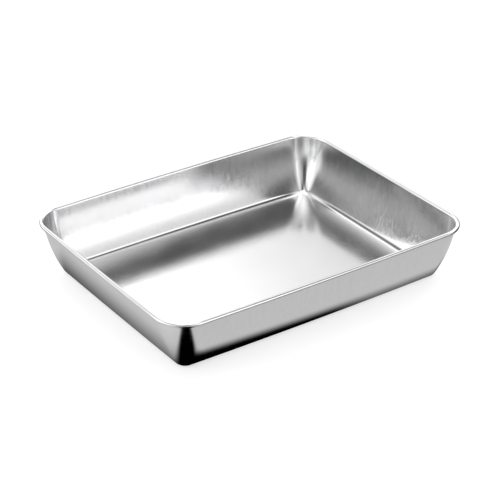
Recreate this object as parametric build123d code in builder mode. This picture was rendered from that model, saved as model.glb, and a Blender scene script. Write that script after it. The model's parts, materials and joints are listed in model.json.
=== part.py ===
from build123d import *

import os
from math import radians, sin

# ----------------------------------------------------------------------------
# Instrument tray: a rectangular pan drawn from one sheet of stainless steel.
# The edge of the sheet is rolled outwards and under, round a closed ring of wire.
# Origin: middle of the underside of the floor. +X along the long side, +Z up.
# ----------------------------------------------------------------------------

# Driving dimensions (mm and degrees)
tray_length = 330.0          # over the rolled rim, along X
tray_width = 255.0           # over the rolled rim, along Y
tray_height = 56.5           # underside of the floor to the top of the rim
sheet = 0.7                  # thickness of the steel
bead_diameter = 4.2          # outside of the rolled rim
wire_clearance = 0.1         # all round the wire, inside the roll
rim_corner_radius = 28.5     # plan radius of the middle of the bead
long_side_crown = 2.2        # how far a long side bows out at its middle
short_side_crown = 0.5       # how far a short side bows out at its middle
floor_radius = 7.0           # inside radius where a wall meets the floor
lean_at_rim = 7.0            # the wall's lean off vertical, just under the bead
lean_at_floor = 29.0         # the wall's lean off vertical, just above the floor radius
roll_end_angle = -120.0      # the free edge of the roll, tucked in under the wire
floor_ring = 2.0             # flat strip inside the floor radius, part of the swept section

# The roll, about the middle of the bead
bead_radius = bead_diameter / 2
bead_height = tray_height - bead_radius
roll_radius = bead_radius - sheet / 2
roll_turn = 180 - lean_at_rim - roll_end_angle
wire_radius = bead_radius - sheet - wire_clearance

# From the roll down to the floor the sheet turns one way only: a long arc for
# the wall, then the small floor radius. The wall's radius closes the height.
wall_and_bend_drop = bead_height + bead_radius * sin(radians(lean_at_rim)) - sheet
bend_drop = floor_radius * (1 - sin(radians(lean_at_floor)))
wall_radius = (wall_and_bend_drop - bend_drop) / (
    sin(radians(lean_at_floor)) - sin(radians(lean_at_rim))
)

# Plan of the bead's middle: corner points before rounding, and side midpoints
corner_x = tray_length / 2 - bead_radius - short_side_crown
corner_y = tray_width / 2 - bead_radius - long_side_crown
middle_x = corner_x + short_side_crown
middle_y = corner_y + long_side_crown

# --- rim plan: four slightly crowned sides with rounded corners ---------------
with BuildSketch(Plane.XY.offset(bead_height)) as rim_plan:
    with BuildLine():
        ThreePointArc((-corner_x, -corner_y), (0, -middle_y), (corner_x, -corner_y))
        ThreePointArc((corner_x, -corner_y), (middle_x, 0), (corner_x, corner_y))
        ThreePointArc((corner_x, corner_y), (0, middle_y), (-corner_x, corner_y))
        ThreePointArc((-corner_x, corner_y), (-middle_x, 0), (-corner_x, -corner_y))
    make_face()
    fillet(rim_plan.vertices(), radius=rim_corner_radius)

rim_path = rim_plan.sketch.face().outer_wire()

# Sections stand square to the rim, at the start of its path: X out, Y up.
path_start = rim_path.position_at(0)
path_along = rim_path.tangent_at(0)
path_outwards = path_along.cross(Vector(0, 0, 1))
section_plane = Plane(origin=path_start, x_dir=path_outwards, z_dir=-path_along)

# --- tray_pan: floor, walls and rolled edge, all one sheet --------------------
with BuildPart() as tray_pan:
    with BuildSketch(section_plane):
        with BuildLine():
            roll = CenterArc((0, 0), roll_radius, roll_end_angle, roll_turn)
            wall = JernArc(
                start=roll @ 1,
                tangent=roll % 1,
                radius=wall_radius + sheet / 2,
                arc_size=lean_at_rim - lean_at_floor,
            )
            floor_bend = JernArc(
                start=wall @ 1,
                tangent=wall % 1,
                radius=floor_radius + sheet / 2,
                arc_size=lean_at_floor - 90,
            )
            Line(floor_bend @ 1, floor_bend @ 1 + floor_ring * (floor_bend % 1))
        trace(line_width=sheet)
    sweep(path=rim_path)

    # The floor plate starts half way across the flat strip and fills the middle.
    with BuildSketch():
        add(rim_plan.sketch_local)
        offset(amount=(floor_bend @ 1).X - floor_ring / 2)
    extrude(amount=sheet)

# --- rim_wire: closed ring of round wire inside the roll ----------------------
with BuildPart() as rim_wire:
    with BuildSketch(section_plane):
        Circle(wire_radius)
    sweep(path=rim_path)

# --- files -------------------------------------------------------------------
os.makedirs("parts", exist_ok=True)

tray_pan.part.label = "tray_pan"
export_step(tray_pan.part, "parts/tray_pan.step")

rim_wire.part.label = "rim_wire"
export_step(rim_wire.part, "parts/rim_wire.step")
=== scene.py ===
# %% [markdown]
# # A drawn steel instrument tray
# A shallow rectangular tray, pressed from one sheet of stainless steel. Its edge is
# rolled outwards and under, round a ring of wire, so it is stiff and safe to hold.
# This lesson sweeps the tray's section round its rim with spins, gives it a satin
# steel, and lights it the way polished metal is lit in a studio.

# %% Load the frame
import json
from math import atan2, cos, degrees, hypot, pi, radians, sin, sqrt

import bmesh
import bpy
from mathutils import Matrix, Vector

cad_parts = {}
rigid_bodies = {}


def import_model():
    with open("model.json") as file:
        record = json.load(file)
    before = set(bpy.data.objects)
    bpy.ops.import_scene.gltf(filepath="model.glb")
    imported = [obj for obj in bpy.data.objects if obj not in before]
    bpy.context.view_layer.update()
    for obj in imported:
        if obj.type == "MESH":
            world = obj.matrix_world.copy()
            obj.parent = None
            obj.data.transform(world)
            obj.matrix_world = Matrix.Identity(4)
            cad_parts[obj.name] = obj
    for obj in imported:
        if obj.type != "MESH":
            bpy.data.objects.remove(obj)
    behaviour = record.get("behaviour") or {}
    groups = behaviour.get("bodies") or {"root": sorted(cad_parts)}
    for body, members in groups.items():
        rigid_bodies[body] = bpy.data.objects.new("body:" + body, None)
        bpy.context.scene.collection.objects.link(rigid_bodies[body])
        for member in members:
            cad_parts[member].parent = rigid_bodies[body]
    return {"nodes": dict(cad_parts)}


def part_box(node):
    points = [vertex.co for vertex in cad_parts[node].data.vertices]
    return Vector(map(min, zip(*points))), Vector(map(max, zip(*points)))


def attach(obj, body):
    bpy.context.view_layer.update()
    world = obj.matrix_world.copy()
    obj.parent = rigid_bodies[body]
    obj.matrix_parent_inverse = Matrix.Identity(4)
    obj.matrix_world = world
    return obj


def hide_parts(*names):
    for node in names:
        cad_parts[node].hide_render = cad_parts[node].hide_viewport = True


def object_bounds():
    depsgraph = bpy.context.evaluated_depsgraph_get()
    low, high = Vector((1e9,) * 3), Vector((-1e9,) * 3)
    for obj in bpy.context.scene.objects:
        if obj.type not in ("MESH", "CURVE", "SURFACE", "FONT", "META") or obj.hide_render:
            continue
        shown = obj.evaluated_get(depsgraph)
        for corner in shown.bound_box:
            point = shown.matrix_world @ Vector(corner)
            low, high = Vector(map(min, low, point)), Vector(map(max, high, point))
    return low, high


for leftover in list(bpy.data.objects):
    bpy.data.objects.remove(leftover)

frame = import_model()
cad_low, cad_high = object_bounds()
print("CAD box, mm:", [round(1000 * (h - l), 1) for l, h in zip(cad_low, cad_high)])

# %% [markdown]
# ## The sizes that drive the shape
# The frame gives the overall box, and the wire ring gives the middle of the bead.
# The sheet thickness and the radii are the ones that the tray was designed with.

# %% Sizes, in metres
MM = 0.001
length, width, height = cad_high - cad_low
wire_low, wire_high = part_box("rim_wire")
bead_height = (wire_low.z + wire_high.z) / 2
bead_radius = height - bead_height
sheet = 0.7 * MM
rim_corner_radius = 28.5 * MM
long_side_crown = 2.2 * MM
short_side_crown = 0.5 * MM
floor_radius = 7.0 * MM
lean_at_rim = radians(7)
lean_at_floor = radians(29)
roll_end_angle = radians(-120)
print("bead radius, mm:", round(bead_radius / MM, 2), " bead height, mm:", round(bead_height / MM, 2))

# %% [markdown]
# ## The section of the sheet
# Seen end on, the sheet is a chain of arcs: the roll, a long wall that leans out more
# and more towards the floor, and the small radius onto the floor. It could be drawn
# point by point. Spinning one vertex about each arc's centre is shorter, and every
# join comes out tangent because the next centre lies on the same normal.

# %% A vertex spun into a chain of arcs
Y_AXIS = Vector((0, 1, 0))
Z_AXIS = Vector((0, 0, 1))


def spin_vertex(bm, vertex, centre, angle, steps):
    """Spins one vertex about a centre in the XZ plane and returns the last new vertex."""
    spun = bmesh.ops.spin(
        bm, geom=[vertex], cent=centre, axis=Y_AXIS, dvec=(0, 0, 0),
        angle=angle, steps=steps, use_merge=False, use_normal_flip=False, use_duplicate=False,
    )
    return next(part for part in spun["geom_last"] if isinstance(part, bmesh.types.BMVert))


def direction(angle):
    """Unit vector in the section plane, counted up from the outward direction."""
    return Vector((cos(angle), 0, sin(angle)))


# %% The section, from the tucked-in edge of the roll to the floor
rise = bead_height + bead_radius * sin(lean_at_rim) - sheet
bend_rise = floor_radius * (1 - sin(lean_at_floor))
wall_radius = (rise - bend_rise) / (sin(lean_at_floor) - sin(lean_at_rim))

roll_radius = bead_radius - sheet / 2
bead_middle = Vector((0, 0, bead_height))
wall_top = bead_middle + roll_radius * direction(pi - lean_at_rim)
wall_centre = wall_top + (wall_radius + sheet / 2) * direction(pi - lean_at_rim)
wall_foot = wall_centre - (wall_radius + sheet / 2) * direction(pi - lean_at_floor)
bend_centre = wall_foot + (floor_radius + sheet / 2) * direction(pi - lean_at_floor)

ROLL_STEPS, WALL_STEPS, BEND_STEPS = 40, 20, 12

section = bmesh.new()
edge_of_roll = section.verts.new(bead_middle + roll_radius * direction(roll_end_angle))
roll_turn = pi - lean_at_rim - roll_end_angle
wall_turn = lean_at_floor - lean_at_rim
bend_turn = pi / 2 - lean_at_floor
roll_end = spin_vertex(section, edge_of_roll, bead_middle, -roll_turn, ROLL_STEPS)
wall_end = spin_vertex(section, roll_end, wall_centre, wall_turn, WALL_STEPS)
bend_end = spin_vertex(section, wall_end, bend_centre, bend_turn, BEND_STEPS)
print("section reaches in by, mm:", round(-bend_end.co.x / MM, 2))
print("and ends at a height, mm:", round(bend_end.co.z / MM, 3))

# %% [markdown]
# ## The plan of the rim
# Pressed sides are never quite straight: each one bows out a little between the corners.
# So the rim is eight arcs in a ring, four long flat ones and four tight ones, and each
# corner's centre is where it touches both of its neighbours without a kink.

# %% Centres and angles of the eight arcs
corner_x = length / 2 - bead_radius - short_side_crown
corner_y = width / 2 - bead_radius - long_side_crown
long_side_radius = (corner_x ** 2 + long_side_crown ** 2) / (2 * long_side_crown)
short_side_radius = (corner_y ** 2 + short_side_crown ** 2) / (2 * short_side_crown)
long_side_back = long_side_radius - corner_y - long_side_crown
short_side_back = short_side_radius - corner_x - short_side_crown


def corner_centre():
    """The point that is one corner radius inside both the long and the short side's arc."""
    from_long = long_side_radius - rim_corner_radius
    from_short = short_side_radius - rim_corner_radius
    apart = hypot(long_side_back, short_side_back)
    along = (from_long ** 2 - from_short ** 2 + apart ** 2) / (2 * apart)
    across = sqrt(from_long ** 2 - along ** 2)
    step_x, step_y = -short_side_back / apart, long_side_back / apart
    return Vector((
        along * step_x + across * step_y,
        -long_side_back + along * step_y - across * step_x,
        0,
    ))


corner = corner_centre()
half_short_turn = atan2(corner.y, corner.x + short_side_back)
half_long_turn = atan2(corner.x, corner.y + long_side_back)
corner_turn = pi / 2 - half_short_turn - half_long_turn
print("corner centre, mm:", [round(part / MM, 2) for part in corner])
print("corner turns by, degrees:", round(degrees(corner_turn), 2))

SHORT_STEPS, CORNER_STEPS, LONG_STEPS = 12, 24, 16
rim_arcs = []
for sign_x, sign_y in ((1, 1), (-1, 1), (-1, -1), (1, -1)):
    short_arc = (Vector((-sign_x * short_side_back, 0, 0)), half_short_turn, SHORT_STEPS)
    corner_arc = (Vector((sign_x * corner.x, sign_y * corner.y, 0)), corner_turn, CORNER_STEPS)
    long_arc = (Vector((0, -sign_y * long_side_back, 0)), half_long_turn, LONG_STEPS)
    quarter = [short_arc, corner_arc, long_arc]
    rim_arcs += quarter if sign_x == sign_y else quarter[::-1]

# %% [markdown]
# ## Walls and rim
# The section moves out to the middle of one short side, a hair inside the frame's box, and
# is spun through the eight arcs, one after the other, until it meets itself. The seam is
# then welded.


# %% The section spun round the rim
WELD_DISTANCE = 0.02 * MM
HAIR = 0.01 * MM


def spin_round(bm, arcs):
    """Spins everything in bm through a chain of level arcs, each from where the last one ended."""
    front = bm.verts[:] + bm.edges[:]
    for centre, angle, steps in arcs:
        spun = bmesh.ops.spin(
            bm, geom=front, cent=centre, axis=Z_AXIS, dvec=(0, 0, 0),
            angle=angle, steps=steps, use_merge=False, use_normal_flip=False, use_duplicate=False,
        )
        front = spun["geom_last"]
    bmesh.ops.remove_doubles(bm, verts=bm.verts[:], dist=WELD_DISTANCE)


pan = section
bmesh.ops.translate(pan, vec=(length / 2 - bead_radius - HAIR, 0, 0), verts=pan.verts[:])
spin_round(pan, rim_arcs)
print("swept pan:", len(pan.verts), "points,", len(pan.faces), "faces")

# %% [markdown]
# ## The floor
# The floor grows in from the wall as rings, each a smaller copy of the last, and one small
# face closes the middle. A single flat face would have the right shape too, but it would
# be cut into slivers as long as the floor, and any fault in the shading at the bend would
# run along them right across the mirror. Rings keep it at the edge.

# %% Floor rings
FLOOR_RINGS = 22
floor_edges = [edge for edge in pan.edges if edge.is_boundary and edge.verts[0].co.z < sheet]
for ring in range(FLOOR_RINGS):
    grown = bmesh.ops.extrude_edge_only(pan, edges=floor_edges)["geom"]
    floor_edges = [part for part in grown if isinstance(part, bmesh.types.BMEdge)]
    ring_points = [part for part in grown if isinstance(part, bmesh.types.BMVert)]
    shrink = 1 - 1 / (FLOOR_RINGS + 0.5 - ring)
    bmesh.ops.scale(pan, vec=(shrink, shrink, 1), verts=ring_points)
bmesh.ops.contextual_create(pan, geom=floor_edges)
bmesh.ops.recalc_face_normals(pan, faces=pan.faces[:])
print("pan with floor:", len(pan.verts), "points,", len(pan.faces), "faces")
for face in pan.faces:
    face.smooth = True


# %% From a bmesh to a piece of the tray
def piece_from(bm, name):
    """Makes an object at the origin from a bmesh, its place in its mesh."""
    mesh = bpy.data.meshes.new(name)
    bm.to_mesh(mesh)
    bm.free()
    piece = bpy.data.objects.new(name, mesh)
    bpy.context.scene.collection.objects.link(piece)
    return piece


pan_piece = piece_from(pan, "pressed_pan")
thickness = pan_piece.modifiers.new("sheet thickness", "SOLIDIFY")
thickness.thickness = sheet
thickness.offset = 0
thickness.use_even_offset = True
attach(pan_piece, "root")
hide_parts("tray_pan")

# %% [markdown]
# ## Small helpers for shader nodes
# A finish is a chain of nodes. Placing them by hand in the editor is quick for one finish;
# in a script it is shorter to have one helper that adds a node and wires its inputs.


# %% A node with its inputs wired or set
def node(tree, kind, operation=None, **inputs):
    """Adds a node, and links or sets its inputs. The names i0 and i1 are inputs by number."""
    made = tree.nodes.new(kind)
    if operation:
        made.operation = operation
    for name, value in inputs.items():
        key = int(name[1:]) if name[0] == "i" and name[1:].isdigit() else name.replace("_", " ")
        if isinstance(value, bpy.types.NodeSocket):
            tree.links.new(value, made.inputs[key])
        else:
            made.inputs[key].default_value = value
    return made


def calculate(tree, operation, first, second=0.0):
    """One Math node's result."""
    return node(tree, "ShaderNodeMath", operation, i0=first, i1=second).outputs[0]


def smooth_step(tree, value, start, end, low=0.0, high=1.0):
    """Goes smoothly from low at start to high at end."""
    made = node(
        tree, "ShaderNodeMapRange",
        Value=value, From_Min=start, From_Max=end, To_Min=low, To_Max=high,
    )
    made.interpolation_type = "SMOOTHSTEP"
    return made.outputs["Result"]


# %% [markdown]
# ## The steel
# Stainless sheet for instruments has a fine satin finish. It is a metal all through, so the
# look is all in how sharply it mirrors the room: that is the roughness. Long noise, squeezed
# upright, gives the walls the faint streaks that the press tool draws in them. On
# the level floor the same noise shows its end grain, a fine even speckle.


# %% A satin steel
STREAKS_PER_METRE = (450, 450, 10)
CLOUDS_PER_METRE = 24
DARKEST_STREAK = 0.97
COLOUR_A, COLOUR_B, MIXED_COLOUR = 6, 7, 2


def satin_steel(name, tint, roughness, spread, grain_height):
    """A steel with upright streaks in its roughness, its tint and its surface."""
    material = bpy.data.materials.new(name)
    material.use_nodes = True
    tree = material.node_tree
    shader = tree.nodes["Principled BSDF"]
    shader.inputs["Metallic"].default_value = 1
    place = tree.nodes.new("ShaderNodeTexCoord").outputs["Object"]

    upright = node(tree, "ShaderNodeMapping", Vector=place, Scale=STREAKS_PER_METRE)
    streaks = node(
        tree, "ShaderNodeTexNoise",
        Vector=upright.outputs["Vector"], Scale=1, Detail=4, Roughness=0.6,
    ).outputs["Fac"]
    clouds = node(
        tree, "ShaderNodeTexNoise",
        Vector=place, Scale=CLOUDS_PER_METRE, Detail=3, Roughness=0.5,
    ).outputs["Fac"]
    uneven = calculate(tree, "MULTIPLY", calculate(tree, "ADD", streaks, clouds), 0.5)
    rough = smooth_step(tree, uneven, 0.3, 0.7, roughness - spread, roughness + spread)
    tree.links.new(rough, shader.inputs["Roughness"])

    shade = node(tree, "ShaderNodeMix")
    shade.data_type = "RGBA"
    tree.links.new(smooth_step(tree, streaks, 0.35, 0.65), shade.inputs["Factor"])
    shade.inputs[COLOUR_A].default_value = (*[DARKEST_STREAK * part for part in tint], 1)
    shade.inputs[COLOUR_B].default_value = (*tint, 1)
    tree.links.new(shade.outputs[MIXED_COLOUR], shader.inputs["Base Color"])

    grain = node(tree, "ShaderNodeBump", Height=streaks, Strength=1, Distance=grain_height)
    tree.links.new(grain.outputs["Normal"], shader.inputs["Normal"])
    return material


def dress(piece, material):
    """Gives a piece one material."""
    piece.data.materials.clear()
    piece.data.materials.append(material)


# %% The two steels: tint, roughness, how far the roughness varies, and the height of the grain
pan_steel = satin_steel("satin_pan_steel", (0.75, 0.75, 0.755), 0.15, 0.04, 0.012 * MM)
wire_steel = satin_steel("drawn_wire_steel", (0.7, 0.7, 0.705), 0.3, 0.05, 0.004 * MM)
dress(pan_piece, pan_steel)
dress(frame["nodes"]["rim_wire"], wire_steel)
print("steels:", pan_steel.name, "and", wire_steel.name)

# %% [markdown]
# ## The camera
# A long lens from a little over a metre and a half keeps the tray's sides nearly parallel, as
# in a catalogue. The camera looks down by 29 degrees, from in front and to the left.

# %% Camera
AZIMUTH, ELEVATION, ROLL = radians(-35.03), radians(29.201), radians(0.165)
DISTANCE = 1.604
AIM_FROM_MIDDLE = Vector((-0.45, -1.66, -2.90)) * MM
aim = (cad_low + cad_high) / 2 + AIM_FROM_MIDDLE


def toward(azimuth, elevation):
    """Unit vector towards a place round the tray; azimuth 0 is straight in front."""
    return Vector((sin(azimuth) * cos(elevation), -cos(azimuth) * cos(elevation), sin(elevation)))


lens = bpy.data.cameras.new("long_lens")
lens.lens = 123.4
lens.sensor_width = 36
camera = bpy.data.objects.new("camera", lens)
backwards = toward(AZIMUTH, ELEVATION)
camera.matrix_world = (
    Matrix.Translation(aim + DISTANCE * backwards)
    @ backwards.to_track_quat("Z", "Y").to_matrix().to_4x4()
    @ Matrix.Rotation(ROLL, 4, "Z")
)
bpy.context.scene.collection.objects.link(camera)
bpy.context.scene.camera = camera
print("camera at, m:", [round(part, 3) for part in camera.matrix_world.translation])

# %% [markdown]
# ## The light tent
# Polished metal shows the room and little else, so its light is a matter of what surrounds
# it. Such a tray is shown in a tent of white cloth with lamps behind it, which
# glows in soft round patches and falls off to grey between them. The tent is the world
# here: each lamp adds one soft glow, in the direction where it stands. A brightness below
# zero is a black flag, a piece of dark cloth that takes light away there.

# %% The lamps behind the tent: azimuth, elevation, half-width in degrees, and brightness
LAMPS = [
    (-75, 9, 18.8, 2.55),
    (-148, -4, 14.4, 3.97),
    (15, -7, 16.5, 1.98),
    (168, 19, 13.7, 2.55),
    (107, 31, 13.7, 2.48),
    (-40, 75, 16.0, 1.76),
    (-55, 24, 11.8, -2.55),
    (69, 55, 12.0, -2.22),
    (-2, 32, 18.4, 0.94),
    (172, 66, 9.5, 3.27),
    (-119, 30, 11.5, 1.8),
    (75, 37, 8.8, 2.73),
    (-117, 6, 7.9, 6.24),
    (112, 41, 9.2, 2.17),
    (86, 70, 9.4, 1.74),
    (155, 41, 7.5, 2.49),
    (52, 66, 8.4, 1.97),
    (-60, 21, 7.5, 2.4),
    (21, 4, 7.5, 2.28),
    (-45, 37, 7.5, 2.17),
    (50, 27, 8.3, 1.66),
    (-23, 37, 8.2, -1.33),
    (81, 12, 11.8, -0.62),
    (-71, 10, 9.8, -0.89),
    (36, 38, 7.5, 1.42),
    (-27, 25, 7.5, 0.4),
]

# %% The glow of every lamp, added up in the world's shader
DARKEST_CLOTH = 0.1

tent = bpy.data.worlds.new("light_tent")
bpy.context.scene.world = tent
tent.use_nodes = True
sky = tent.node_tree
outlook = sky.nodes.new("ShaderNodeTexCoord").outputs["Generated"]
glow = 0.0
for azimuth, elevation, half_width, brightness in LAMPS:
    lamp = toward(radians(azimuth), radians(elevation))
    facing = node(sky, "ShaderNodeVectorMath", "DOT_PRODUCT", i0=outlook, i1=lamp).outputs["Value"]
    away = calculate(sky, "SUBTRACT", facing, 1.0)
    fall = calculate(sky, "MULTIPLY", away, 1 / radians(half_width) ** 2)
    fade = calculate(sky, "EXPONENT", fall)
    glow = calculate(sky, "ADD", calculate(sky, "MULTIPLY", fade, brightness), glow)
glow = calculate(sky, "MAXIMUM", glow, DARKEST_CLOTH)
sky.links.new(glow, sky.nodes["Background"].inputs["Color"])
tent.cycles.sampling_method = "MANUAL"
tent.cycles.sample_map_resolution = 512
print("lamps in the tent:", len(LAMPS))

# %% [markdown]
# ## The table
# The tray stands on a wide pale table, which glows a little, as a lit studio table
# does. The sides of the tray hang over it and mirror it from very near, and a white table
# would leave them without any form. So the steel sees a glowing card in its place, just
# below, painted with the table's light and shade: pale as well, but with a black painted
# shadow close under the tray's foot, a painted black patch in front of the near corner,
# and painted shade further out, which draws a thin grey line along the rolled rim.

# %% Two level squares
TABLE_REACH = 12.0
CARD_BELOW_TABLE = 1 * MM


def square_piece(name, level):
    """A wide level square, for the table top and the card."""
    bm = bmesh.new()
    bmesh.ops.create_grid(bm, x_segments=1, y_segments=1, size=TABLE_REACH)
    bmesh.ops.translate(bm, vec=(0, 0, level), verts=bm.verts[:])
    piece = piece_from(bm, name)
    return piece


table_top = square_piece("table_top", 0)
table_top.visible_glossy = False
card = square_piece("painted_table_card", -CARD_BELOW_TABLE)
card.visible_camera = False
card.visible_diffuse = False
print("table and card, metres across:", 2 * TABLE_REACH)

# %% Pale table paint
table_paint = bpy.data.materials.new("pale_table_paint")
table_paint.use_nodes = True
paint = table_paint.node_tree.nodes["Principled BSDF"]
paint.inputs["Base Color"].default_value = (0.5, 0.5, 0.5, 1)
paint.inputs["Roughness"].default_value = 0.9
paint.inputs["Emission Color"].default_value = (1, 1, 1, 1)
paint.inputs["Emission Strength"].default_value = 0.6
dress(table_top, table_paint)

# %% [markdown]
# ## The card
# The card is drawn in one shader, as a brightness that each step cuts down or lifts. The
# brightness is painted light and shade: the table as the steel would mirror it, with the
# tray's shadow painted in. It could be an image, but a few distances, each faded with a
# smooth step, say the same in numbers that mean something: how far a point lies in front
# of the tray's foot, behind it, or past its ends.

# %% How far a point of the card lies from the tray's foot
FOOT_X, FOOT_Y = 138 * MM, 101 * MM
FOOT_TURN = radians(1.5)

painted_table_light = bpy.data.materials.new("painted_table_light")
painted_table_light.use_nodes = True
paper = painted_table_light.node_tree
paper.nodes.clear()
place = paper.nodes.new("ShaderNodeTexCoord").outputs["Object"]
turned = node(paper, "ShaderNodeMapping", Vector=place, Rotation=(0, 0, FOOT_TURN))
turned.vector_type = "TEXTURE"
turned = node(paper, "ShaderNodeSeparateXYZ", Vector=turned.outputs["Vector"])
along, across = turned.outputs["X"], turned.outputs["Y"]

in_front = calculate(paper, "SUBTRACT", calculate(paper, "MULTIPLY", across, -1.0), FOOT_Y)
behind = calculate(paper, "SUBTRACT", across, FOOT_Y)
past_right_end = calculate(paper, "SUBTRACT", along, FOOT_X)
past_an_end = calculate(paper, "SUBTRACT", calculate(paper, "ABSOLUTE", along), FOOT_X)
print("foot on the card, mm:", round(2 * FOOT_X / MM), "x", round(2 * FOOT_Y / MM))

# %% Painted shadow of the tray: black under it and along the front of its foot, a little greyer towards the right
PAINTED_SHADOW_FRONT_EDGE = (7 * MM, 17 * MM)
PAINTED_SHADOW_OTHER_EDGES = (-10 * MM, 40 * MM)
PAINTED_SHADOW_GREYER_ALONG = (10 * MM, 70 * MM)
PAINTED_SHADOW_GREYEST = 0.25

painted_shadow_level = smooth_step(paper, along, *PAINTED_SHADOW_GREYER_ALONG, 0.0, PAINTED_SHADOW_GREYEST)
clear = smooth_step(paper, in_front, *PAINTED_SHADOW_FRONT_EDGE, painted_shadow_level)
for distance in (past_an_end, behind):
    clear = calculate(paper, "MAXIMUM", clear, smooth_step(paper, distance, *PAINTED_SHADOW_OTHER_EDGES))

# %% A long black patch, leading away from the near corner: a painted dark reflection in the near walls
PATCH_MIDDLE = (-158 * MM, -142 * MM, 0)
PATCH_TURN = (0, 0, radians(-30))
PATCH_HALF_SIZE = (23 * MM, 75 * MM, 1)
PATCH_EDGE = (0.7, 1.15)

patch = node(
    paper, "ShaderNodeMapping",
    Vector=place, Location=PATCH_MIDDLE, Rotation=PATCH_TURN, Scale=PATCH_HALF_SIZE,
)
patch.vector_type = "TEXTURE"
patch = node(paper, "ShaderNodeVectorMath", "MULTIPLY", i0=patch.outputs["Vector"], i1=(1, 1, 0))
from_patch = node(paper, "ShaderNodeVectorMath", "LENGTH", i0=patch.outputs[0]).outputs["Value"]
clear = calculate(paper, "MULTIPLY", clear, smooth_step(paper, from_patch, *PATCH_EDGE))

# %% Painted shade further out, all round but the left end, and pale again far out in front; the steel mirrors it as a grey line along the rolled rim
SURROUND_STARTS = (72 * MM, 92 * MM)
FRONT_ENDS = (170 * MM, 230 * MM)
SURROUND_SHADE = 0.85

past_sides = calculate(paper, "MAXIMUM", in_front, behind)
outside = node(paper, "ShaderNodeCombineXYZ", X=past_right_end, Y=past_sides).outputs[0]
outside = node(paper, "ShaderNodeVectorMath", "MAXIMUM", i0=outside, i1=(0, 0, 0)).outputs[0]
from_foot = node(paper, "ShaderNodeVectorMath", "LENGTH", i0=outside).outputs["Value"]
surround = smooth_step(paper, from_foot, *SURROUND_STARTS)
front_shade = smooth_step(paper, in_front, *FRONT_ENDS, SURROUND_SHADE, 0.0)
shade = calculate(paper, "MULTIPLY", surround, front_shade)
clear = calculate(paper, "MULTIPLY", clear, calculate(paper, "SUBTRACT", 1.0, shade))

# %% Painted light: brighter past the left end, then the light that the card gives off, though it is no lamp
LEFT_END = (-220 * MM, -165 * MM)
LEFT_END_GLOW = 1.2
CARD_GLOW = 0.68

left_end = smooth_step(paper, along, *LEFT_END, LEFT_END_GLOW, 1.0)
clear = calculate(paper, "MULTIPLY", clear, left_end)
seen = calculate(paper, "MULTIPLY", clear, CARD_GLOW)
light = node(paper, "ShaderNodeEmission", Color=(1, 1, 1, 1), Strength=seen)
node(paper, "ShaderNodeOutputMaterial", Surface=light.outputs[0])
dress(card, painted_table_light)
print("card's shader:", len(paper.nodes), "nodes")

# %% [markdown]
# ## The film
# The Standard view shows every tone as it is computed, so the white table stays white.

# %% Film
bpy.context.scene.view_settings.view_transform = "Standard"
